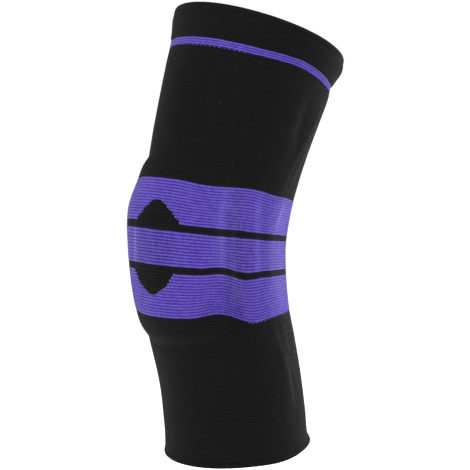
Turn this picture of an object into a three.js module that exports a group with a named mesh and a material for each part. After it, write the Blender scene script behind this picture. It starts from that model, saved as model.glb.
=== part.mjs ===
// A knitted knee sleeve, as worn: a soft ribbed tube that bends at the knee, in rings of black and purple.
// Millimetres, +Z up. The origin is the middle of the knee, the front faces -Y, the thigh is above.
import * as THREE from "three";
import { ParametricGeometry } from "three/addons/geometries/ParametricGeometry.js";

// Driving dimensions of the tube, measured along its middle line from the knee
const THIGH_REACH = 139.5;
const SHIN_REACH = 136.5;
const KNEE_WIDTH = 97;
const KNEE_DEPTH = 104;
const WALL = 1.8;
const WELT_WALL = 2.6;
const SEAM = 0.3;

// The bend: how far back the ends stand, and how far their rims lean, in degrees
const THIGH_SETBACK = 47;
const SHIN_SETBACK = 26.5;
const THIGH_LEAN = 22;
const SHIN_LEAN = -8;
const ANKLE_ROLL = 1.5;
const ROLL_START = 0.6;

// Heights of the coloured rings
const MIDDLE_BAND = 20;
const STRIPE = 4;
const UPPER_BAND = 24;
const LOWER_BAND = 26.5;
const WELT = 20.5;
const THIN_STRIPE = 4.3;
const HEM = 11;

// The peak of the upper stripe, and the dip of the lower one, which is its mirror image
const PEAK_HEIGHT = 11.5;
const PEAK_BASE = 34;
const PEAK_TIP = 8;
const PEAK_TURN = 4;

// The cushion inside the front: a raised oval with a hollow for the kneecap
const CUSHION_RISE = 3.6;
const CUSHION_WIDTH = 108;
const CUSHION_ABOVE = 50.5;
const CUSHION_BELOW = 55.5;
const CUSHION_EDGE = 10;
const KNEECAP_WIDTH = 40;
const KNEECAP_HEIGHT = 50;
const KNEECAP_HOLLOW = 1.1;

// The size that folds of the knit stand up from the tube, and that its rows drift up or down
const FOLD_RISE = 1;
const ROW_DRIFT = 2.5;

// at: share of the thigh's reach above the knee, or of the shin's below it. back and lean: shares of that
// end's setback and lean. depth and width: shares of the knee's.
const SECTIONS = [
  { at: -1.0, back: 1.0, lean: 0.8, depth: 0.98, width: 1.0 },
  { at: -0.96, back: 0.955, lean: 0.8, depth: 0.945, width: 0.965 },
  { at: -0.85, back: 0.9, lean: 0.75, depth: 0.937, width: 0.957 },
  { at: -0.65, back: 0.73, lean: 0.5, depth: 0.936, width: 0.946 },
  { at: -0.45, back: 0.45, lean: 0.2, depth: 0.954, width: 0.959 },
  { at: -0.25, back: 0.14, lean: -0.25, depth: 0.977, width: 0.987 },
  { at: 0.0, back: 0.0, lean: 0.3, depth: 1.0, width: 1.0 },
  { at: 0.15, back: 0.035, lean: 0.48, depth: 1.017, width: 1.017 },
  { at: 0.3, back: 0.215, lean: 0.62, depth: 0.989, width: 0.994 },
  { at: 0.5, back: 0.42, lean: 0.82, depth: 1.024, width: 1.024 },
  { at: 0.75, back: 0.72, lean: 0.94, depth: 1.084, width: 1.084 },
  { at: 0.88, back: 0.885, lean: 0.98, depth: 1.11, width: 1.11 },
  { at: 0.95, back: 0.955, lean: 1.0, depth: 1.138, width: 1.14 },
  { at: 1.0, back: 1.015, lean: 1.04, depth: 1.145, width: 1.15 },
];

// Each fold is a soft ridge, or a furrow where its rise is negative, on both sides of the sleeve. angle: from
// the front, in degrees. at and tall: shares of the reach. wide: degrees. rise: share of FOLD_RISE. slant:
// degrees that the fold turns over one reach of height.
const FOLDS = [
  { name: "edge of the cushion", angle: 54, at: 0.04, wide: 6, tall: 0.3, rise: 0.8, slant: 0 },
  { name: "furrow beside it", angle: 67, at: 0.02, wide: 6, tall: 0.24, rise: -1.4, slant: 0 },
  { name: "dent below it", angle: 51, at: -0.2, wide: 7, tall: 0.08, rise: -1.2, slant: 0 },
  { name: "side stay", angle: 96, at: 0.01, wide: 6, tall: 0.26, rise: 1.0, slant: 0 },
  { name: "tendon behind the thigh", angle: 116, at: 0.56, wide: 7, tall: 0.26, rise: 1.3, slant: 42 },
  { name: "hollow beside it", angle: 100, at: 0.61, wide: 6, tall: 0.13, rise: -1.1, slant: 0 },
  { name: "edge of the calf", angle: 100, at: -0.56, wide: 6, tall: 0.24, rise: 1.0, slant: 22 },
  { name: "cuff standing out at the back", angle: 132, at: 0.935, wide: 24, tall: 0.04, rise: 1.4, slant: 0 },
  { name: "pinch under the cuff", angle: 132, at: 0.85, wide: 24, tall: 0.04, rise: -1.3, slant: 0 },
];

// Where the knitted rows drift off level. lift: share of ROW_DRIFT.
const DRIFTS = [
  { name: "over the cushion's lower edge", angle: 49, at: -0.3, wide: 14, tall: 0.12, lift: 1.4 },
  { name: "in the furrow below", angle: 78, at: -0.3, wide: 15, tall: 0.15, lift: -1.25 },
  { name: "under the kneecap", angle: 0, at: -0.3, wide: 22, tall: 0.15, lift: -0.12 },
  { name: "lower stripe on the cushion", angle: 54, at: -0.09, wide: 9, tall: 0.08, lift: 0.7 },
  { name: "lower stripe in the furrow", angle: 74, at: -0.09, wide: 11, tall: 0.1, lift: -0.6 },
  { name: "over the cushion's upper edge", angle: 37, at: 0.27, wide: 14, tall: 0.12, lift: -0.45 },
  { name: "in the furrow above", angle: 73, at: 0.27, wide: 15, tall: 0.12, lift: 0.7 },
  { name: "behind the furrow above", angle: 115, at: 0.27, wide: 20, tall: 0.12, lift: 0.3 },
  { name: "thin stripe at the side", angle: 83, at: 0.84, wide: 24, tall: 0.1, lift: 1.0 },
  { name: "hem at the side", angle: 84, at: -1.0, wide: 22, tall: 0.08, lift: -0.5 },
];

// How finely the rings are divided. Columns stand closer at the front, where the peaks and the cushion are.
const COLUMNS = 60;
const FRONT_CROWDING = 0.35;
const ROW_HEIGHT = 6.5;
const ROUND_STEPS = 3;

// Heights where one ring ends and the next begins, on the middle line
const middleTop = MIDDLE_BAND / 2;
const upperStripeTop = middleTop + STRIPE;
const upperBandTop = upperStripeTop + UPPER_BAND;
const lowerStripeBottom = -upperStripeTop;
const lowerBandBottom = lowerStripeBottom - LOWER_BAND;
const hemTop = HEM - SHIN_REACH;
const thinStripeTop = THIGH_REACH - WELT;
const thinStripeBottom = thinStripeTop - THIN_STRIPE;

const radians = THREE.MathUtils.degToRad;
const reachAt = (at) => (at < 0 ? SHIN_REACH : THIGH_REACH);

// The section table in millimetres and radians
const LEVELS = SECTIONS.map(({ at, back, lean, depth, width }) => ({
  height: at * reachAt(at),
  back: back * (at < 0 ? SHIN_SETBACK : THIGH_SETBACK),
  lean: radians(lean * (at < 0 ? SHIN_LEAN : THIGH_LEAN)),
  depth: depth * KNEE_DEPTH,
  width: width * KNEE_WIDTH,
}));

// The slope of one column of the table at one of its levels, from its neighbours
function slopeAt(index, key) {
  const below = LEVELS[Math.max(index - 1, 0)];
  const above = LEVELS[Math.min(index + 1, LEVELS.length - 1)];
  return (above[key] - below[key]) / (above.height - below.height);
}

// A smooth curve through one column of the table
function sectionAt(height, key) {
  const last = LEVELS.length - 2;
  const found = LEVELS.findIndex((level) => level.height > height) - 1;
  const i = found < 0 ? (height < LEVELS[0].height ? 0 : last) : found;
  const [below, above] = [LEVELS[i], LEVELS[i + 1]];
  const span = above.height - below.height;
  const t = (height - below.height) / span;
  const start = below[key] * (2 * t ** 3 - 3 * t ** 2 + 1);
  const end = above[key] * (3 * t ** 2 - 2 * t ** 3);
  const leaving = slopeAt(i, key) * span * (t ** 3 - 2 * t ** 2 + t);
  const arriving = slopeAt(i + 1, key) * span * (t ** 3 - t ** 2);
  return start + end + leaving + arriving;
}

// The angle from the front, from -pi to pi
const turned = (angle) => Math.atan2(Math.sin(angle), Math.cos(angle));

// How strongly a row of a fold or drift table acts at one place of the tube, on its right or left copy
function strength(row, angle, height) {
  const reach = reachAt(row.at);
  const above = height / reach - row.at;
  const centre = row.angle + (row.slant ?? 0) * above;
  return [1, -1].reduce((sum, side) => {
    const across = THREE.MathUtils.radToDeg(turned(angle - side * radians(centre)));
    return sum + Math.exp(-((across / row.wide) ** 2) - (above / row.tall) ** 2);
  }, 0);
}

const foldRise = (angle, height) =>
  FOLDS.reduce((sum, fold) => sum + FOLD_RISE * fold.rise * strength(fold, angle, height), 0);

const rowDrift = (angle, height) =>
  DRIFTS.reduce((sum, drift) => sum + ROW_DRIFT * drift.lift * strength(drift, angle, height), 0);

// The cushion stands up inside a rounded oval, and is a little lower where the kneecap lies in it
function cushionRise(angle, height) {
  const across = (Math.abs(turned(angle)) * KNEE_WIDTH) / 2;
  const reach = height > 0 ? CUSHION_ABOVE : CUSHION_BELOW;
  const halfWidth = CUSHION_WIDTH / 2;
  const outer = Math.cbrt((across / halfWidth) ** 3 + (Math.abs(height) / reach) ** 3);
  const inner = Math.hypot((2 * across) / KNEECAP_WIDTH, (2 * height) / KNEECAP_HEIGHT);
  const rim = CUSHION_EDGE / halfWidth;
  const innerRim = (2 * CUSHION_EDGE) / KNEECAP_WIDTH;
  const raised = 1 - THREE.MathUtils.smoothstep(outer, 1 - rim / 2, 1 + rim / 2);
  const hollowed = 1 - THREE.MathUtils.smoothstep(inner, 1 - innerRim / 2, 1 + innerRim / 2);
  return CUSHION_RISE * raised - KNEECAP_HOLLOW * hollowed;
}

// A point of the tube: angle goes round it from the front, height is that of its row on the middle line, and
// inset is the distance in from the outer face. The inner face lies against the leg, without the cushion.
function tubePoint(angle, height, inset, target) {
  const cushion = inset > 0 ? 0 : cushionRise(angle, height);
  const rise = foldRise(angle, height) + cushion - inset;
  const across = (sectionAt(height, "width") / 2 + rise) * Math.sin(angle);
  const forward = (sectionAt(height, "depth") / 2 + rise) * Math.cos(angle);
  const lean = sectionAt(height, "lean");
  const rollShare = THREE.MathUtils.clamp((-height / SHIN_REACH - ROLL_START) / (1 - ROLL_START), 0, 1);
  const roll = radians(ANKLE_ROLL) * rollShare;
  const up = height + rowDrift(angle, height) + forward * Math.sin(lean) - across * Math.sin(roll);
  return target.set(across, sectionAt(height, "back") - forward * Math.cos(lean), up);
}

// The outline of the peak across the stripe: full height within its tip, falling straight to its base
function peakRise(angle, turn) {
  const across = Math.abs(turned(angle - radians(turn)) * KNEE_WIDTH);
  return PEAK_HEIGHT * THREE.MathUtils.clamp((PEAK_BASE - across) / (PEAK_BASE - PEAK_TIP), 0, 1);
}

// Stations round the wall of a ring, from its lower outer edge up the outer face, over the top edge, down the
// inner face and back. Each has a share of the ring's height, a distance in from the outer face, and a rise
// above that height. A turned edge is round, a knitted-on one is flat.
function wallStations({ rows, wall, turnedTop, turnedBottom }) {
  const bend = wall / 2;
  const topDrop = turnedTop ? bend : 0;
  const bottomDrop = turnedBottom ? bend : 0;
  const stations = [];
  for (let i = 0; i <= rows; i += 1) {
    const share = i / rows;
    stations.push({ share, inset: 0, up: bottomDrop * (1 - share) - topDrop * share });
  }
  for (let i = 1; turnedTop && i <= ROUND_STEPS; i += 1) {
    const turn = (Math.PI * i) / (ROUND_STEPS + 1);
    stations.push({ share: 1, inset: bend * (1 - Math.cos(turn)), up: bend * (Math.sin(turn) - 1) });
  }
  const innerRows = Math.ceil(rows / 2);
  for (let i = innerRows; i >= 0; i -= 1) {
    const share = i / innerRows;
    stations.push({ share, inset: wall, up: bottomDrop * (1 - share) - topDrop * share });
  }
  for (let i = 1; turnedBottom && i <= ROUND_STEPS; i += 1) {
    const turn = (Math.PI * i) / (ROUND_STEPS + 1);
    stations.push({ share: 0, inset: bend * (1 + Math.cos(turn)), up: bend * (1 - Math.sin(turn)) });
  }
  return stations;
}

// A ring of the tube between two heights, each of which may vary round it. It keeps half a seam to its
// neighbours.
function ring(name, material, { bottom, top, wall = WALL, turnedTop = false, turnedBottom = false }) {
  const rows = Math.max(2, Math.round((top(Math.PI) - bottom(Math.PI)) / ROW_HEIGHT));
  const stations = wallStations({ rows, wall, turnedTop, turnedBottom });
  const place = (u, v, target) => {
    const angle = 2 * Math.PI * u - FRONT_CROWDING * Math.sin(2 * Math.PI * u);
    const { share, inset, up } = stations[Math.round(v * stations.length) % stations.length];
    const low = bottom(angle) + (turnedBottom ? 0 : SEAM / 2);
    const high = top(angle) - (turnedTop ? 0 : SEAM / 2);
    tubePoint(angle, THREE.MathUtils.lerp(low, high, share) + up, inset, target);
  };
  const mesh = new THREE.Mesh(new ParametricGeometry(place, COLUMNS, stations.length), material);
  mesh.name = name;
  return mesh;
}

const knit = (color) => new THREE.MeshStandardMaterial({ color, roughness: 0.9, metalness: 0 });
const black = () => knit(0x1d1d1e);
const purple = () => knit(0x5a49ab);
const level = (height) => () => height;

// The thigh: a doubled welt, a thin stripe below it and the long black tube
function thigh() {
  return [
    ring("thigh_welt", black(), {
      bottom: level(thinStripeTop),
      top: level(THIGH_REACH),
      wall: WELT_WALL,
      turnedTop: true,
    }),
    ring("thigh_stripe", purple(), { bottom: level(thinStripeBottom), top: level(thinStripeTop) }),
    ring("thigh_tube", black(), { bottom: level(upperBandTop), top: level(thinStripeBottom) }),
  ];
}

// The knee: three purple bands, parted by two black stripes whose peaks point away from the kneecap
function knee() {
  const peakTop = (angle) => upperStripeTop + peakRise(angle, PEAK_TURN);
  const dipBottom = (angle) => lowerStripeBottom - peakRise(angle, 0);
  return [
    ring("upper_band", purple(), { bottom: peakTop, top: level(upperBandTop) }),
    ring("upper_stripe", black(), { bottom: level(middleTop), top: peakTop }),
    ring("middle_band", purple(), { bottom: level(-middleTop), top: level(middleTop) }),
    ring("lower_stripe", black(), { bottom: dipBottom, top: level(-middleTop) }),
    ring("lower_band", purple(), { bottom: level(lowerBandBottom), top: dipBottom }),
  ];
}

// The shin: the long black tube and its turned hem
function shin() {
  return [
    ring("shin_tube", black(), { bottom: level(hemTop), top: level(lowerBandBottom) }),
    ring("shin_hem", black(), {
      bottom: level(-SHIN_REACH),
      top: level(hemTop),
      wall: WELT_WALL,
      turnedBottom: true,
    }),
  ];
}

const sleeve = new THREE.Group();
sleeve.name = "knee_sleeve";
sleeve.add(...thigh(), ...knee(), ...shin());

export default sleeve;
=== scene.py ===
# A knitted knee sleeve, shown as it is worn: one seamless tube of fine ribs, black with purple bands at the
# knee. It is knitted round and round from the hem at the shin up to the welt at the thigh.
import math

import bpy
import numpy as np
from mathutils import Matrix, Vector


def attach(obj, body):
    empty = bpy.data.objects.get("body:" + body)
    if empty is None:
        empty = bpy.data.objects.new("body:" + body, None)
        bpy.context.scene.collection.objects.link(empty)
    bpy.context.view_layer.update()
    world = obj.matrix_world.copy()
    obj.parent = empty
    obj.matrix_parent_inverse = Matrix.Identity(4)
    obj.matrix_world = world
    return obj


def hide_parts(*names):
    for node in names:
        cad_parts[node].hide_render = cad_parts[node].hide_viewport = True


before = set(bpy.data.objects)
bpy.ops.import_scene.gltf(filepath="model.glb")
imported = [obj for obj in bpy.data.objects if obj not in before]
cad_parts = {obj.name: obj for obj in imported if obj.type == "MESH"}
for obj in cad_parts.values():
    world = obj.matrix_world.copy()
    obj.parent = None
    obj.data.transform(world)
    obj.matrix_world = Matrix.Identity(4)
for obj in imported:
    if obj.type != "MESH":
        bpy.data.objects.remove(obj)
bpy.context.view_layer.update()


# The hem and the shin tube
# The hem is where knitting starts: its first rib is turned in and joined on, which makes a doubled edge. The
# shin tube goes on from it in plain ribs. Both are black elastic yarn, and the leg in them gives their form.
THIGH_REACH = 0.1395
SHIN_REACH = 0.1365
KNEE_WIDTH = 0.097
KNEE_DEPTH = 0.104
THIGH_SETBACK = 0.047
SHIN_SETBACK = 0.0265
THIGH_LEAN = math.radians(22)
SHIN_LEAN = math.radians(-8)
ANKLE_ROLL = math.radians(1.5)
ROLL_START = 0.6

# Height as a share of the reach, shares of the setback and the lean, depth and width as shares of the knee's
SECTIONS = [
    (-1.00, 1.000, 0.80, 0.980, 1.000),
    (-0.96, 0.955, 0.80, 0.945, 0.965),
    (-0.85, 0.900, 0.75, 0.937, 0.957),
    (-0.65, 0.730, 0.50, 0.936, 0.946),
    (-0.45, 0.450, 0.20, 0.954, 0.959),
    (-0.25, 0.140, -0.25, 0.977, 0.987),
    (0.00, 0.000, 0.30, 1.000, 1.000),
    (0.15, 0.035, 0.48, 1.017, 1.017),
    (0.30, 0.215, 0.62, 0.989, 0.994),
    (0.50, 0.420, 0.82, 1.024, 1.024),
    (0.75, 0.720, 0.94, 1.084, 1.084),
    (0.88, 0.885, 0.98, 1.110, 1.110),
    (0.95, 0.955, 1.00, 1.138, 1.140),
    (1.00, 1.015, 1.04, 1.145, 1.150),
]

# The raised oval of the cushion that is knitted in at the front, with a hollow for the kneecap
CUSHION_RISE = 0.0036
CUSHION_WIDTH = 0.108
CUSHION_ABOVE = 0.0505
CUSHION_BELOW = 0.0555
CUSHION_EDGE = 0.010
KNEECAP_WIDTH = 0.040
KNEECAP_HEIGHT = 0.050
KNEECAP_HOLLOW = 0.0011

# Ridges and furrows of the knit, in columns: angle from the front in degrees, height and tallness as shares
# of the reach, width in degrees, size in shares of FOLD_RISE, and slant in degrees over one reach
FOLD_RISE = 0.001
FOLDS = [
    (54, 0.04, 0.30, 6, 0.8, 0),
    (67, 0.02, 0.24, 6, -1.4, 0),
    (51, -0.20, 0.08, 7, -1.2, 0),
    (96, 0.01, 0.26, 6, 1.0, 0),
    (116, 0.56, 0.26, 7, 1.3, 42),
    (100, 0.61, 0.13, 6, -1.1, 0),
    (100, -0.56, 0.24, 6, 1.0, 22),
    (132, 0.935, 0.04, 24, 1.4, 0),
    (132, 0.85, 0.04, 24, -1.3, 0),
]

# Where the knitted rows drift off level, in the same columns, with the size in shares of ROW_DRIFT
ROW_DRIFT = 0.0025
DRIFTS = [
    (49, -0.30, 0.12, 14, 1.4, 0),
    (78, -0.30, 0.15, 15, -1.25, 0),
    (0, -0.30, 0.15, 22, -0.12, 0),
    (54, -0.09, 0.08, 9, 0.7, 0),
    (74, -0.09, 0.10, 11, -0.6, 0),
    (37, 0.27, 0.12, 14, -0.45, 0),
    (73, 0.27, 0.12, 15, 0.7, 0),
    (115, 0.27, 0.12, 20, 0.3, 0),
    (83, 0.84, 0.10, 24, 1.0, 0),
    (84, -1.00, 0.08, 22, -0.5, 0),
]

# Sharper creases over those folds, too fine for the plain solids, in columns: width in degrees, rise in
# shares of FOLD_RISE, the strength of the painted highlight along it, and points of height as a share of the
# reach and angle from the front. Two of them have no rise and only show as painted highlight.
CREASES = [
    (2.2, 0.4, 0.65, [(0.31, 101), (0.42, 104), (0.55, 112), (0.66, 118), (0.74, 116)]),
    (2.2, 0.3, 0.3, [(0.34, 109), (0.45, 113), (0.57, 122)]),
    (2.5, 0.2, 0.3, [(0.50, 102), (0.60, 94), (0.70, 96)]),
    (2.2, 0.5, 0.7, [(0.12, 102), (0.25, 106.5)]),
    (2.5, 0.3, 0.35, [(-0.10, 85), (0.10, 84), (0.25, 79)]),
    (2.5, 0.3, 0.25, [(-0.12, 55), (0.10, 55), (0.24, 51)]),
    (9.0, 0.0, 0.40, [(-0.27, 110), (0.25, 110)]),
    (5.0, 0.0, 0.25, [(-0.22, 68), (0.24, 66)]),
    (2.0, 0.4, 1.0, [(-0.08, -19.5), (0.08, -17)]),
    (2.2, 0.4, 0.65, [(-0.78, 103), (-0.66, 103.5), (-0.50, 99), (-0.34, 95.5)]),
    (2.2, 0.2, 0.2, [(-0.66, 112), (-0.54, 109), (-0.42, 107)]),
]

# A crease is rounded over these steps of height, and it fades out this far past each end, both in shares of
# the reach
CREASE_ROUNDING = (-0.05, -0.02, 0.02, 0.05)
CREASE_FADE = 0.06


def smooth_step(low, high, value):
    """Rises from 0 at low to 1 at high, level at both ends."""
    share = np.clip((value - low) / (high - low), 0, 1)
    return share * share * (3 - 2 * share)


def turned(angle):
    """The same angle, between minus and plus half a turn."""
    return (angle + math.pi) % (2 * math.pi) - math.pi


def section_curve(height, column, below_size, above_size):
    """A smooth cubic through one column of the sections, its slopes taken from the neighbouring rows."""
    table = np.array(SECTIONS)
    shin = table[:, 0] < 0
    levels = table[:, 0] * np.where(shin, SHIN_REACH, THIGH_REACH)
    values = table[:, column] * np.where(shin, below_size, above_size)
    before = np.maximum(np.arange(len(levels)) - 1, 0)
    after = np.minimum(np.arange(len(levels)) + 1, len(levels) - 1)
    slopes = (values[after] - values[before]) / (levels[after] - levels[before])
    i = np.clip(np.searchsorted(levels, height, side="right") - 1, 0, len(levels) - 2)
    span = levels[i + 1] - levels[i]
    t = (height - levels[i]) / span
    start = values[i] * (2 * t**3 - 3 * t**2 + 1) + values[i + 1] * (3 * t**2 - 2 * t**3)
    return start + span * (slopes[i] * (t**3 - 2 * t**2 + t) + slopes[i + 1] * (t**3 - t**2))


def soft_marks(marks, angle, height):
    """The sum of soft round bumps, each on both sides of the sleeve, that fall off as a bell curve."""
    total = np.zeros(np.broadcast(angle, height).shape)
    for at_angle, at, tall, wide, size, slant in marks:
        reach = SHIN_REACH if at < 0 else THIGH_REACH
        above = height / reach - at
        for side in (1, -1):
            centre = np.radians(side * (at_angle + slant * above))
            across = np.degrees(turned(angle - centre))
            total += size * np.exp(-((across / wide) ** 2) - (above / tall) ** 2)
    return total


def crease_marks(angle, height, column):
    """The sum of one column of the creases, each a narrow bell curve across a line through its points. The
    line is rounded where it turns, and it fades at both ends. The crease at a negative angle, on the inner
    side of the kneecap, has no twin."""
    total = np.zeros(np.broadcast(angle, height).shape)
    degrees = np.degrees(turned(angle))
    share = height / np.where(height < 0, SHIN_REACH, THIGH_REACH)
    for crease in CREASES:
        wide, points = crease[0], np.array(crease[3])
        lines = [np.interp(share + move, points[:, 0], points[:, 1]) for move in CREASE_ROUNDING]
        centre = sum(lines) / len(lines)
        ends = smooth_step(-CREASE_FADE, CREASE_FADE, share - points[0, 0])
        ends = ends * smooth_step(-CREASE_FADE, CREASE_FADE, points[-1, 0] - share)
        sides = (1,) if points[0, 1] < 0 else (1, -1)
        for side in sides:
            total += crease[column] * ends * np.exp(-(((degrees - side * centre) / wide) ** 2))
    return total


def cushion_rise(angle, height):
    """Raised inside a rounded oval with a soft edge, and a little lower in the kneecap's oval."""
    across = np.abs(turned(angle)) * KNEE_WIDTH / 2
    reach = np.where(height > 0, CUSHION_ABOVE, CUSHION_BELOW)
    outer = np.cbrt((across / (CUSHION_WIDTH / 2)) ** 3 + (np.abs(height) / reach) ** 3)
    inner = np.hypot(2 * across / KNEECAP_WIDTH, 2 * height / KNEECAP_HEIGHT)
    rim = CUSHION_EDGE / CUSHION_WIDTH
    inner_rim = CUSHION_EDGE / KNEECAP_WIDTH
    raised = 1 - smooth_step(1 - rim, 1 + rim, outer)
    hollowed = 1 - smooth_step(1 - inner_rim, 1 + inner_rim, inner)
    return CUSHION_RISE * raised - KNEECAP_HOLLOW * hollowed


def leg_surface(angle, height, inset, proud):
    """Points of the tube: an ellipse round the leg at each height, set back and leaned as the leg bends.
    proud stands out from the knit's face, and inset lies in from it, against the leg without the cushion."""
    folds = soft_marks(FOLDS, angle, height) + crease_marks(angle, height, 1)
    rise = FOLD_RISE * folds - inset + proud
    rise = rise + np.where(inset > 0, 0, cushion_rise(angle, height))
    across = (section_curve(height, 4, KNEE_WIDTH, KNEE_WIDTH) / 2 + rise) * np.sin(angle)
    forward = (section_curve(height, 3, KNEE_DEPTH, KNEE_DEPTH) / 2 + rise) * np.cos(angle)
    lean = section_curve(height, 2, SHIN_LEAN, THIGH_LEAN)
    roll = ANKLE_ROLL * np.clip((-height / SHIN_REACH - ROLL_START) / (1 - ROLL_START), 0, 1)
    level = height + ROW_DRIFT * soft_marks(DRIFTS, angle, height)
    back = section_curve(height, 1, SHIN_SETBACK, THIGH_SETBACK)
    up = level + forward * np.sin(lean) - across * np.sin(roll)
    return np.stack([across, back - forward * np.cos(lean), up], axis=-1)


# The knitting chart: ribs go up the sleeve and columns of two stitches go round it. Its heights are on the
# middle line of the leg, and one rib is a raised round of yarn between two tight ones. The mesh divides each
# rib into this many steps.
COLUMNS = 200
STEPS = 8
HEM = 0.011
LOWER_BAND = 0.0265
STRIPE = 0.004
MIDDLE_BAND = 0.020
UPPER_BAND = 0.024
THIN_STRIPE = 0.0043
WELT = 0.0205
SHIN_TUBE = SHIN_REACH - MIDDLE_BAND / 2 - STRIPE - LOWER_BAND - HEM
THIGH_TUBE = THIGH_REACH - MIDDLE_BAND / 2 - STRIPE - UPPER_BAND - THIN_STRIPE - WELT
WALL = 0.0018
WELT_WALL = 0.0026

# Name, height on the middle line, number of ribs, and how far they stand proud
RINGS = [
    ("shin_hem", HEM, 6, 0.00022),
    ("shin_tube", SHIN_TUBE, 48, 0.00022),
    ("lower_band", LOWER_BAND, 15, 0.00038),
    ("lower_stripe", STRIPE, 2, 0.00030),
    ("middle_band", MIDDLE_BAND, 11, 0.00040),
    ("upper_stripe", STRIPE, 2, 0.00030),
    ("upper_band", UPPER_BAND, 15, 0.00038),
    ("thigh_tube", THIGH_TUBE, 47, 0.00026),
    ("thigh_stripe", THIN_STRIPE, 3, 0.00038),
    ("thigh_welt", WELT, 13, 0.00020),
]
ring_names = [ring[0] for ring in RINGS]
ring_tops = np.cumsum([ring[2] for ring in RINGS])
ring_edges = np.concatenate([[0], ring_tops])
rib_total = int(ring_tops[-1])
rows = np.arange(rib_total * STEPS + 1)
row_rib = rows / STEPS

# Both ends roll in over nearly a quarter turn, in their last rib. The other ribs are evenly spaced between
# the heights of the seams.
EDGE_TURN = math.radians(80)
edge_share = np.clip(row_rib - (rib_total - 1), 0, 1) - np.clip(1 - row_rib, 0, 1)
edge_turn = EDGE_TURN * edge_share
edge_inset = WELT_WALL / 2 * (1 - np.cos(edge_turn))
hem_start = -SHIN_REACH + WELT_WALL / 2
welt_end = THIGH_REACH - WELT_WALL / 2
seam_heights = np.cumsum([ring[1] for ring in RINGS])[:-1] - SHIN_REACH
known_ribs = [0, 1, *ring_tops[:-1], rib_total - 1, rib_total]
known_heights = [hem_start, hem_start, *seam_heights, welt_end, welt_end]
row_height = np.interp(row_rib, known_ribs, known_heights) + WELT_WALL / 2 * np.sin(edge_turn)

# A rib's profile is a round arch, and it fades where the edge rolls in. The doubled welt swells a little
# over its first ribs, and a groove some ribs in from each edge shows where the doubled knit is joined.
ARCH_POWER = 0.8
WELT_SWELL = 0.0009
SWELL_RIBS = 2
GROOVE = 0.00035
GROOVE_WIDTH = 0.4
HEM_GROOVE = 2
WELT_GROOVE = 3
unrolled = 1 - np.abs(edge_share)
row_ring = np.clip(np.searchsorted(ring_tops, row_rib, side="right"), 0, len(RINGS) - 1)
arch = np.sin(math.pi * (row_rib % 1)) ** ARCH_POWER
row_proud = arch * np.array([ring[3] for ring in RINGS])[row_ring] * unrolled
welt_start = ring_edges[ring_names.index("thigh_welt")]
row_proud = row_proud + WELT_SWELL * smooth_step(0, SWELL_RIBS, row_rib - welt_start) * unrolled
for groove_rib in (HEM_GROOVE, rib_total - WELT_GROOVE):
    row_proud = row_proud - GROOVE * np.exp(-(((row_rib - groove_rib) / GROOVE_WIDTH) ** 2))

# Rows of a knit are never quite level: they wander by a tenth of a millimetre or so, as the sum of three
# slanting waves. In columns: waves round the sleeve, radians per metre up it, and where each wave starts.
WANDER = 0.00005
WANDER_WAVES = [
    (9, 310, 0),
    (17, -470, 1),
    (31, 790, 2),
]
column_angle = 2 * math.pi * np.arange(COLUMNS) / COLUMNS
angle_grid, height_grid = np.meshgrid(column_angle, row_height)
wander = 0
for turns, climb, start in WANDER_WAVES:
    wander = wander + np.sin(turns * angle_grid + climb * height_grid + start)
outer_face = leg_surface(angle_grid, height_grid, edge_inset[:, None], row_proud[:, None])
outer_face[..., 2] += WANDER * wander * unrolled[:, None]

# Which ring each cell of the chart belongs to, at first in whole ribs
chart = np.repeat(np.arange(len(RINGS)), [ring[2] * STEPS for ring in RINGS])
chart = np.repeat(chart[:, None], COLUMNS, axis=1)

# Where the knit is stretched open, so that its pin holes show, painted dark as shade: in front of the
# kneecap, down the furrow beside the cushion, a little over the front of the thigh, and below the cushion.
# It has the folds' columns.
STRETCHED = [
    (10, 0.00, 0.10, 10, 0.8, 0),
    (63, 0.15, 0.13, 5, 0.9, 0),
    (66, -0.04, 0.16, 4, 1.6, 0),
    (62, -0.24, 0.13, 7, 1.4, 0),
    (10, 0.62, 0.16, 22, 0.3, 0),
    (45, -0.30, 0.05, 14, 0.5, 0),
]
stretched = np.clip(soft_marks(STRETCHED, angle_grid, height_grid), 0, 1)

# How much painted highlight the yarn takes: a little on the folds' ridges, and more on the creases
FOLD_HIGHLIGHT = 0.15
painted_highlight = FOLD_HIGHLIGHT * np.clip(soft_marks(FOLDS, angle_grid, height_grid), 0, 1)
painted_highlight = np.clip(painted_highlight + crease_marks(angle_grid, height_grid, 2), 0, 1)

# How near a stitch is to a rolled edge, where the stitches stand apart and their gaps take more painted
# shade: it fades between these ribs from it
EDGE_RIBS = (1.5, 3.5)
hemmed = 1 - smooth_step(*EDGE_RIBS, np.minimum(row_rib, rib_total - row_rib))
hemmed = np.repeat(hemmed[:, None], COLUMNS, axis=1)


def chart_quads(row, column, corners):
    """Four corners for each cell: the cell's place plus steps in row and column, and 0 for the outer face or
    1 for the inner one."""
    cell = np.stack([row, column, np.zeros_like(row)], axis=-1)
    return cell[:, None] + np.array(corners)


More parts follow.
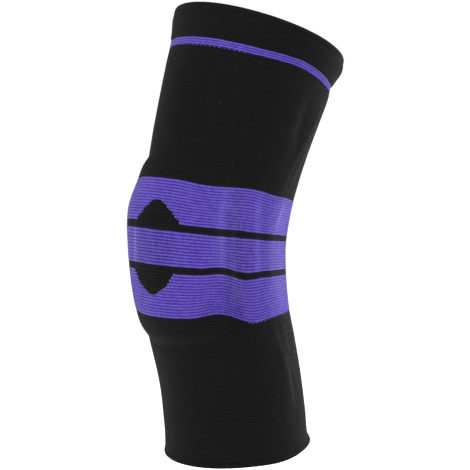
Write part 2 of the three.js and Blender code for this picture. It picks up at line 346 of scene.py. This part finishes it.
def cut_ring(name, wall, finish):
    """Cuts one ring from the knitted tube. Its outer face has a quad for each cell of the chart that is the
    ring's own, its inner face lies a wall's thickness in with one row of quads a rib, and walls close it
    wherever the next cell is another ring's. Where its edge is stepped, the inner face has every row. The
    whole tube is one body, so the ring rides on the root."""
    mine = np.pad(chart == ring_names.index(name), ((1, 1), (0, 0)))
    whole = mine.all(axis=1) | ~mine.any(axis=1)
    kept = (rows % STEPS == 0) | ~whole[:-1] | ~whole[1:] | (mine[:-1] != mine[1:]).any(axis=1)
    mine = mine[1:-1]
    inner_rows = np.flatnonzero(kept)
    row, column = np.nonzero(mine)
    quads = [chart_quads(row, column, [(0, 0, 0), (0, 1, 0), (1, 1, 0), (1, 0, 0)])]
    # The inner face, in taller quads
    tall = np.diff(inner_rows)
    at, column = np.nonzero(mine[inner_rows[:-1]])
    low = inner_rows[at]
    inner = chart_quads(low, column, [(0, 0, 1), (1, 0, 1), (1, 1, 1), (0, 1, 1)])
    inner[:, 1:3, 0] = (low + tall[at])[:, None]
    quads.append(inner)
    # The edges above and below, and the sides of the steps
    padded = np.pad(mine, ((1, 1), (0, 0)))
    row, column = np.nonzero(padded[1:] & ~padded[:-1])
    quads.append(chart_quads(row, column, [(0, 0, 0), (0, 0, 1), (0, 1, 1), (0, 1, 0)]))
    row, column = np.nonzero(~padded[1:] & padded[:-1])
    quads.append(chart_quads(row, column, [(0, 0, 0), (0, 1, 0), (0, 1, 1), (0, 0, 1)]))
    before = np.roll(mine, 1, axis=1)
    row, column = np.nonzero(mine & ~before)
    quads.append(chart_quads(row, column, [(0, 0, 0), (1, 0, 0), (1, 0, 1), (0, 0, 1)]))
    row, column = np.nonzero(~mine & before)
    quads.append(chart_quads(row, column, [(0, 0, 0), (0, 0, 1), (1, 0, 1), (1, 0, 0)]))
    quads = np.concatenate(quads)
    # The mesh holds the corners in use, with the chart's stitch columns and ribs as its UV map
    inner_face = leg_surface(angle_grid, height_grid, (wall - edge_inset)[:, None], 0)
    points = np.stack([outer_face, inner_face])
    place = np.ravel_multi_index((quads[..., 2], quads[..., 0], quads[..., 1] % COLUMNS), points.shape[:3])
    used, corner = np.unique(place, return_inverse=True)
    mesh = bpy.data.meshes.new(name)
    mesh.from_pydata(points.reshape(-1, 3)[used], [], corner.reshape(quads.shape[:2]))
    knit_map = mesh.uv_layers.new(name="knit")
    chart_place = np.stack([quads[..., 1], quads[..., 0] / STEPS], axis=-1)
    knit_map.uv.foreach_set("vector", chart_place.astype(np.float32).ravel())
    for label, values in (("stretched", stretched), ("painted_highlight", painted_highlight), ("hemmed", hemmed)):
        note = mesh.attributes.new(label, "FLOAT", "POINT")
        note.data.foreach_set("value", np.tile(values.ravel(), 2)[used].astype(np.float32))
    mesh.polygons.foreach_set("use_smooth", np.ones(len(quads), dtype=bool))
    mesh.materials.append(finish)
    mesh.validate()
    ring = bpy.data.objects.new(name + "_knit", mesh)
    bpy.context.scene.collection.objects.link(ring)
    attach(ring, "root")
    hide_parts(name)


# Powers that narrow the crests of the ribs and the gaps at the pins
CREST_POWER = 1.7
PIN_POWER = 2.5

# Where a stitch's leg starts and how far it slants, in widths of a stitch, and its share of the shade
LEG_START = 0.12
LEG_SLANT = 0.24
LEG_SHADE = 0.16

# How much painted shade darkens the gaps between beads everywhere, and how much more where the knit is
# stretched and near the edges
PAINTED_GAP_SHADE = 0.3
STRETCHED_GAP_SHADE = 0.55
HEMMED_GAP_SHADE = 0.6

# How far the stitches differ in shade, how mottled the yarn is, and the lightest shade that it takes
STITCH_CHANCE = 0.22
MOTTLE = 0.7
BRIGHTEST = 1.3

# How much of the painted highlight the valleys take, how far up a rib the painted shade of a pin hole
# reaches, and how hard the edge of the hole is
VALLEY_HIGHLIGHT = 0.4
HOLE_TOP = 1.1
HOLE_EDGE = 4.5

# Flecks of lint: their colour, and the levels of noise over which a fleck and a patch of flecks show
FLECK_COLOUR = (0.25, 0.24, 0.25)
FLECK_LEVEL = 0.735
FLECK_PATCHES = 0.55

# The parts of the relief, its strength and its depth in metres
LEG_RELIEF = 0.5
FUZZ_RELIEF = 0.8
BEAD_RELIEF = 0.5
STRETCHED_RELIEF = 0.6
RELIEF_STRENGTH = 0.7
RELIEF_DEPTH = 0.00025

# The yarn is matt, with hardly any gloss, and its fuzz shines softly
YARN_ROUGHNESS = 0.85
YARN_GLOSS = 0.06
FUZZ_ROUGHNESS = 0.27

# Scales of the noises, in waves per metre, and how many finer noises each carries
MOTTLE_NOISE = (420, 3)
FUZZ_NOISE = (1700, 3)
FLECK_NOISE = (900, 1)
PATCH_NOISE = (55, 0)


def knit_finish(name, rib_colour, shaded_valley_colour, hole_shade_colour, highlight_colour, lint, sheen, sheen_tint):
    """Yarn over the knit map, where u counts columns and v counts ribs. A rib's crest has the yarn's lit
    colour and its valley a painted shade, each column stands up as a bead, no two stitches are quite alike,
    and pin holes open between the beads where the knit is stretched, painted dark as the shade seen through
    them. A painted highlight lightens the yarn where the mesh marks it."""
    finish = bpy.data.materials.new(name)
    finish.use_nodes = True
    nodes, links = finish.node_tree.nodes, finish.node_tree.links
    shader = nodes["Principled BSDF"]

    def calc(operation, *inputs):
        """One step of arithmetic on numbers or on other nodes' outputs."""
        node = nodes.new("ShaderNodeMath")
        node.operation = operation
        for socket, value in zip(node.inputs, inputs):
            if isinstance(value, (int, float)):
                socket.default_value = value
            else:
                links.new(value, socket)
        return node.outputs[0]

    def note(label):
        """A value that the mesh keeps at each of its points, by name."""
        node = nodes.new("ShaderNodeAttribute")
        node.attribute_name = label
        return node.outputs["Fac"]

    def noise(scale, detail):
        """A soft noise between 0 and 1 on the object's own coordinates."""
        node = nodes.new("ShaderNodeTexNoise")
        node.inputs["Scale"].default_value = scale
        node.inputs["Detail"].default_value = detail
        links.new(coordinates.outputs["Object"], node.inputs["Vector"])
        return node.outputs["Fac"]

    def blend(share, first, second):
        """The first colour where the share is 0, the second where it is 1, and a mixture between."""
        node = nodes.new("ShaderNodeMix")
        node.data_type = "RGBA"
        links.new(share, node.inputs["Factor"])
        for socket, colour in ((node.inputs["A"], first), (node.inputs["B"], second)):
            if isinstance(colour, tuple):
                socket.default_value = (*colour, 1)
            else:
                links.new(colour, socket)
        return node.outputs["Result"]

    coordinates = nodes.new("ShaderNodeTexCoord")
    knit_map = nodes.new("ShaderNodeUVMap")
    knit_map.uv_map = "knit"
    split = nodes.new("ShaderNodeSeparateXYZ")
    links.new(knit_map.outputs[0], split.inputs[0])
    column, rib = split.outputs[0], split.outputs[1]
    stretch, highlight_share, hem_share = note("stretched"), note("painted_highlight"), note("hemmed")

    # Across a rib: 0 in its valley, 1 on its crest. Along it: 0 at a pin, 1 on a bead.
    crest = calc("POWER", calc("SINE", calc("MULTIPLY", calc("FRACT", rib), math.pi)), CREST_POWER)
    bead = calc("ABSOLUTE", calc("SINE", calc("MULTIPLY", column, math.pi)))
    pin = calc("POWER", calc("SUBTRACT", 1, bead), PIN_POWER)
    # The two legs of each stitch, which part as the course rises
    off_middle = calc("ABSOLUTE", calc("SUBTRACT", calc("FRACT", calc("MULTIPLY", column, 2)), 0.5))
    course = calc("FRACT", calc("MULTIPLY", rib, 2))
    leg_middle = calc("MULTIPLY_ADD", course, LEG_SLANT, LEG_START)
    off_leg = calc("DIVIDE", calc("SUBTRACT", off_middle, leg_middle), LEG_SLANT)
    leg = calc("MAXIMUM", calc("SUBTRACT", 1, calc("MULTIPLY", off_leg, off_leg)), 0)
    # One number for each pair of stitches, one noise for the mottled yarn and one for its fuzz
    stitch = nodes.new("ShaderNodeCombineXYZ")
    links.new(calc("FLOOR", calc("ADD", column, 0.5)), stitch.inputs[0])
    links.new(calc("FLOOR", rib), stitch.inputs[1])
    chance = nodes.new("ShaderNodeTexWhiteNoise")
    chance.noise_dimensions = "2D"
    links.new(stitch.outputs[0], chance.inputs["Vector"])
    mottle = noise(*MOTTLE_NOISE)
    fuzz = noise(*FUZZ_NOISE)

    shade = calc("MULTIPLY_ADD", leg, LEG_SHADE, calc("MULTIPLY", crest, 1 - LEG_SHADE))
    # Painted shade in the gaps between the beads, deeper where the knit is stretched and near the rolled
    # edges
    gap_shade = calc("MULTIPLY", pin, calc("MULTIPLY_ADD", stretch, STRETCHED_GAP_SHADE, PAINTED_GAP_SHADE))
    gap_shade = calc("MULTIPLY_ADD", calc("MULTIPLY", pin, hem_share), HEMMED_GAP_SHADE, gap_shade)
    shade = calc("SUBTRACT", shade, gap_shade)
    shade = calc("MULTIPLY_ADD", calc("SUBTRACT", chance.outputs["Value"], 0.5), STITCH_CHANCE, shade)
    shade = calc("MULTIPLY_ADD", calc("SUBTRACT", mottle, 0.5), MOTTLE, shade)
    shade = calc("MINIMUM", calc("MAXIMUM", shade, 0), BRIGHTEST)
    # The valleys between the ribs take a painted shade, the crests the yarn's lit colour
    colour = blend(shade, shaded_valley_colour, rib_colour)
    # Painted highlight where the mesh marks it, stronger on the ribs than between them
    highlight_shade = calc("MULTIPLY_ADD", shade, 1 - VALLEY_HIGHLIGHT, VALLEY_HIGHLIGHT)
    colour = blend(calc("MULTIPLY", highlight_share, highlight_shade), colour, highlight_colour)
    # Pin holes in the valleys of the stretched knit, painted dark as the shade seen through them
    hole = calc("MULTIPLY", calc("MULTIPLY", pin, calc("SUBTRACT", HOLE_TOP, crest)), stretch)
    colour = blend(calc("MINIMUM", calc("MULTIPLY", hole, HOLE_EDGE), 1), colour, hole_shade_colour)
    # A few flecks of lint, in patches
    fleck = calc("GREATER_THAN", noise(*FLECK_NOISE), FLECK_LEVEL)
    fleck = calc("MULTIPLY", fleck, calc("GREATER_THAN", noise(*PATCH_NOISE), FLECK_PATCHES))
    colour = blend(calc("MULTIPLY", fleck, lint), colour, FLECK_COLOUR)
    links.new(colour, shader.inputs["Base Color"])

    # Relief of the beads, the stitches and the fuzz
    relief = calc("MULTIPLY_ADD", fuzz, FUZZ_RELIEF, calc("MULTIPLY", leg, LEG_RELIEF))
    bead_height = calc("MULTIPLY_ADD", stretch, STRETCHED_RELIEF, BEAD_RELIEF)
    relief = calc("MULTIPLY_ADD", calc("SUBTRACT", 1, pin), bead_height, relief)
    bump = nodes.new("ShaderNodeBump")
    bump.inputs["Strength"].default_value = RELIEF_STRENGTH
    bump.inputs["Distance"].default_value = RELIEF_DEPTH
    links.new(relief, bump.inputs["Height"])
    links.new(bump.outputs[0], shader.inputs["Normal"])
    shader.inputs["Roughness"].default_value = YARN_ROUGHNESS
    shader.inputs["Specular IOR Level"].default_value = YARN_GLOSS
    shader.inputs["Sheen Weight"].default_value = sheen
    shader.inputs["Sheen Roughness"].default_value = FUZZ_ROUGHNESS
    shader.inputs["Sheen Tint"].default_value = (*sheen_tint, 1)
    return finish


# Elastic yarn, nylon wound round rubber, dyed black, with a soft fuzz that catches light at the edges
BLACK_LINT = 0.12
BLACK_FUZZ = 0.030
BLACK_RIB = (0.0072, 0.0070, 0.0069)
# Painted shade between the ribs
BLACK_SHADED_VALLEY = (0.0044, 0.0043, 0.0043)
# Painted shade seen through the pin holes
BLACK_HOLE_SHADE = (0.0015, 0.0015, 0.0015)
# This lighter colour is a painted highlight, laid on the folds and creases
BLACK_HIGHLIGHT = (0.024, 0.0235, 0.0235)
BLACK_SHEEN = (1.0, 0.97, 0.95)
black_knit = knit_finish(
    "black_knit",
    rib_colour=BLACK_RIB,
    shaded_valley_colour=BLACK_SHADED_VALLEY,
    hole_shade_colour=BLACK_HOLE_SHADE,
    highlight_colour=BLACK_HIGHLIGHT,
    lint=BLACK_LINT,
    sheen=BLACK_FUZZ,
    sheen_tint=BLACK_SHEEN,
)

# The change to purple at the top of the shin tube is stepped at the sides and the back, where every second
# column changes some rows early
STEPPED_FROM = math.radians(70)
STEP_ROWS = 3
shin_end = ring_edges[ring_names.index("lower_band")] * STEPS
early = (np.abs(turned(column_angle)) > STEPPED_FROM) & (np.arange(COLUMNS) % 2 == 0)
chart[shin_end - STEP_ROWS : shin_end, early] = ring_names.index("lower_band")
cut_ring("shin_hem", WELT_WALL, black_knit)
cut_ring("shin_tube", WALL, black_knit)


# The two black stripes and their peaks
# Two thin black stripes frame the kneecap. Away from it, the black yarn is carried on over fewer and fewer
# columns, one course at a time, so each stripe runs out to a stepped peak in the middle of the front.

# How many columns the black goes to each side, from the stripe outwards. Two courses make a rib.
RISING_PEAK = [11, 10.8, 10.4, 9.8, 9.2, 8.6, 8.2, 7.6, 6.7, 6.1, 5.2, 4.5, 3.9, 3.3, 2.0]
FALLING_PEAK = [11, 10.6, 10.2, 9.8, 9.4, 9.1, 8.8, 8.2, 7.6, 6.9, 6.1, 5.3, 4.4, 3.4, 2.0]
PEAK_TURN = math.radians(5.6)
COURSE = STEPS // 2
for peak, upward, turn in ((RISING_PEAK, True, PEAK_TURN), (FALLING_PEAK, False, 0)):
    columns_off = np.abs(turned(column_angle + math.pi / COLUMNS - turn)) * COLUMNS / (2 * math.pi)
    stripe = ring_names.index("upper_stripe" if upward else "lower_stripe")
    edge = (ring_tops if upward else ring_edges)[stripe] * STEPS
    for step, half_width in enumerate(peak):
        low = edge + step * COURSE if upward else edge - (step + 1) * COURSE
        chart[low : low + COURSE, columns_off < half_width] = stripe
cut_ring("lower_stripe", WALL, black_knit)
cut_ring("upper_stripe", WALL, black_knit)


# The three purple bands
# Purple yarn of the same kind, knitted in taller ribs below, over and above the kneecap, where the cushion
# lies under the knit. It is lighter on the crests, and painted shade darkens it between the ribs and at the
# pin holes.
PURPLE_LINT = 0.05
PURPLE_FUZZ = 0.17
PURPLE_RIB = (0.122, 0.081, 0.450)
# Painted shade between the ribs
PURPLE_SHADED_VALLEY = (0.032, 0.016, 0.180)
# Painted shade seen through the pin holes
PURPLE_HOLE_SHADE = (0.012, 0.005, 0.080)
# This lighter colour is a painted highlight, laid on the folds and creases
PURPLE_HIGHLIGHT = (0.210, 0.165, 0.580)
PURPLE_SHEEN = (1.0, 0.94, 1.0)
purple_knit = knit_finish(
    "purple_knit",
    rib_colour=PURPLE_RIB,
    shaded_valley_colour=PURPLE_SHADED_VALLEY,
    hole_shade_colour=PURPLE_HOLE_SHADE,
    highlight_colour=PURPLE_HIGHLIGHT,
    lint=PURPLE_LINT,
    sheen=PURPLE_FUZZ,
    sheen_tint=PURPLE_SHEEN,
)
cut_ring("lower_band", WALL, purple_knit)
cut_ring("middle_band", WALL, purple_knit)
cut_ring("upper_band", WALL, purple_knit)


# The thigh tube and the thin stripe
# The long tube over the thigh is knitted on from the purple bands in plain black ribs, and it ends in a thin
# stripe of three purple ribs.

# The change of yarn under the stripe is ragged at the front, where every second purple stitch hangs over the
# black one below it, and only a little uneven elsewhere, by one row and some columns at a time
TOOTH_ROWS = 3
UNEVEN_COLUMNS = 3
RAGGED_FRONT = math.radians(42)
thin_stripe = ring_names.index("thigh_stripe")
change_row = ring_edges[thin_stripe] * STEPS
at_front = np.abs(turned(column_angle)) < RAGGED_FRONT
toothed = at_front & (np.arange(COLUMNS) % 2 == 0)
chart[change_row - TOOTH_ROWS : change_row, toothed] = thin_stripe
uneven = ~at_front & (np.arange(COLUMNS) // UNEVEN_COLUMNS % 2 == 0)
chart[change_row - 1 : change_row, uneven] = thin_stripe
cut_ring("thigh_tube", WALL, black_knit)
cut_ring("thigh_stripe", WALL, purple_knit)


# The welt
# A doubled band of black knit with a soft elastic hold, which keeps the sleeve up on the thigh. Its top edge
# is turned in like the hem.
cut_ring("thigh_welt", WELT_WALL, black_knit)


# The floor, the light and the camera
# A pale matt floor lies a wearer's knee height below the sleeve, and it glows a little so that it stays
# white. The light is soft: a lamp high in front, one nearly overhead, and a large one behind.
FLOOR_DROP = 0.47
FLOOR_HALF = 24.0
FLOOR_GREY = (0.92, 0.92, 0.92)
FLOOR_GLOW = 0.53
floor_mesh = bpy.data.meshes.new("floor")
floor_corners = [(x, y, -FLOOR_DROP) for x, y in ((-1, -1), (1, -1), (1, 1), (-1, 1))]
floor_corners = [(x * FLOOR_HALF, y * FLOOR_HALF, z) for x, y, z in floor_corners]
floor_mesh.from_pydata(floor_corners, [], [(0, 1, 2, 3)])
floor = bpy.data.objects.new("floor", floor_mesh)
bpy.context.scene.collection.objects.link(floor)
floor_paint = bpy.data.materials.new("floor_paint")
floor_paint.use_nodes = True
floor_shader = floor_paint.node_tree.nodes["Principled BSDF"]
floor_shader.inputs["Base Color"].default_value = (*FLOOR_GREY, 1)
floor_shader.inputs["Roughness"].default_value = 0.9
floor_shader.inputs["Emission Color"].default_value = (1, 1, 1, 1)
floor_shader.inputs["Emission Strength"].default_value = FLOOR_GLOW
floor_mesh.materials.append(floor_paint)

# The wall all round is white, and it darkens to a grey ceiling between these shares of the way up
WALL_LIGHT = 1.0
WALL_TOP = 0.12
CEILING_LIGHT = 0.5
CEILING_START = 0.35
world = bpy.data.worlds.new("studio")
bpy.context.scene.world = world
world.use_nodes = True
world_nodes, world_links = world.node_tree.nodes, world.node_tree.links
sky_way = world_nodes.new("ShaderNodeTexCoord")
sky_split = world_nodes.new("ShaderNodeSeparateXYZ")
sky_fade = world_nodes.new("ShaderNodeMapRange")
sky_fade.inputs["From Min"].default_value = WALL_TOP
sky_fade.inputs["From Max"].default_value = CEILING_START
sky_fade.inputs["To Min"].default_value = WALL_LIGHT
sky_fade.inputs["To Max"].default_value = CEILING_LIGHT
world_links.new(sky_way.outputs["Generated"], sky_split.inputs[0])
world_links.new(sky_split.outputs[2], sky_fade.inputs["Value"])
world_links.new(sky_fade.outputs[0], world_nodes["Background"].inputs["Strength"])
world_nodes["Background"].inputs["Color"].default_value = (1, 1, 1, 1)
bpy.context.scene.view_settings.view_transform = "Standard"

# Lamps: azimuth and elevation in degrees as seen from the knee, distance and size in metres, power in watts
LAMPS = [
    ("key_light", 5, 50, 1.6, 0.6, 15),
    ("top_light", 60, 75, 1.5, 1.2, 8),
    ("right_light", 175, 35, 1.4, 1.4, 33),
]


def view_direction(azimuth, elevation):
    """The way from the object to someone who looks at it, azimuth 0 being the front."""
    level = math.cos(elevation)
    return Vector((math.sin(azimuth) * level, -math.cos(azimuth) * level, math.sin(elevation)))


def soft_box(name, azimuth, elevation, distance, size, power):
    """A square area light that faces the object."""
    light = bpy.data.lights.new(name, "AREA")
    light.size = size
    light.energy = power
    lamp = bpy.data.objects.new(name, light)
    toward = view_direction(math.radians(azimuth), math.radians(elevation))
    lamp.location = toward * distance
    lamp.rotation_euler = toward.to_track_quat("Z", "Y").to_euler()
    bpy.context.scene.collection.objects.link(lamp)


for lamp_row in LAMPS:
    soft_box(*lamp_row)

# The camera stands where the photo was taken from, and it is aimed so that the middle of the knee comes to
# the same pixel. The frame's width is the width that it takes in at the knee's distance.
CAMERA_AZIMUTH = math.radians(45)
CAMERA_ELEVATION = math.radians(7.5)
CAMERA_DISTANCE = 1.5
FRAME_WIDTH = 0.3102
FRAME_PIXELS = 470
ORIGIN_PIXEL = (209.5, 248.45)
SENSOR_WIDTH = 36
to_camera = view_direction(CAMERA_AZIMUTH, CAMERA_ELEVATION)
right = Vector((math.cos(CAMERA_AZIMUTH), math.sin(CAMERA_AZIMUTH), 0))
up = to_camera.cross(right)
pixel = FRAME_WIDTH / FRAME_PIXELS
middle = FRAME_PIXELS / 2
aim = right * (middle - ORIGIN_PIXEL[0]) * pixel + up * (ORIGIN_PIXEL[1] - middle) * pixel
camera_data = bpy.data.cameras.new("camera")
camera_data.sensor_width = SENSOR_WIDTH
camera_data.lens = SENSOR_WIDTH * CAMERA_DISTANCE / FRAME_WIDTH
camera = bpy.data.objects.new("camera", camera_data)
camera.location = to_camera * CAMERA_DISTANCE
camera.rotation_euler = (camera.location - aim).to_track_quat("Z", "Y").to_euler()
bpy.context.scene.collection.objects.link(camera)
bpy.context.scene.camera = camera
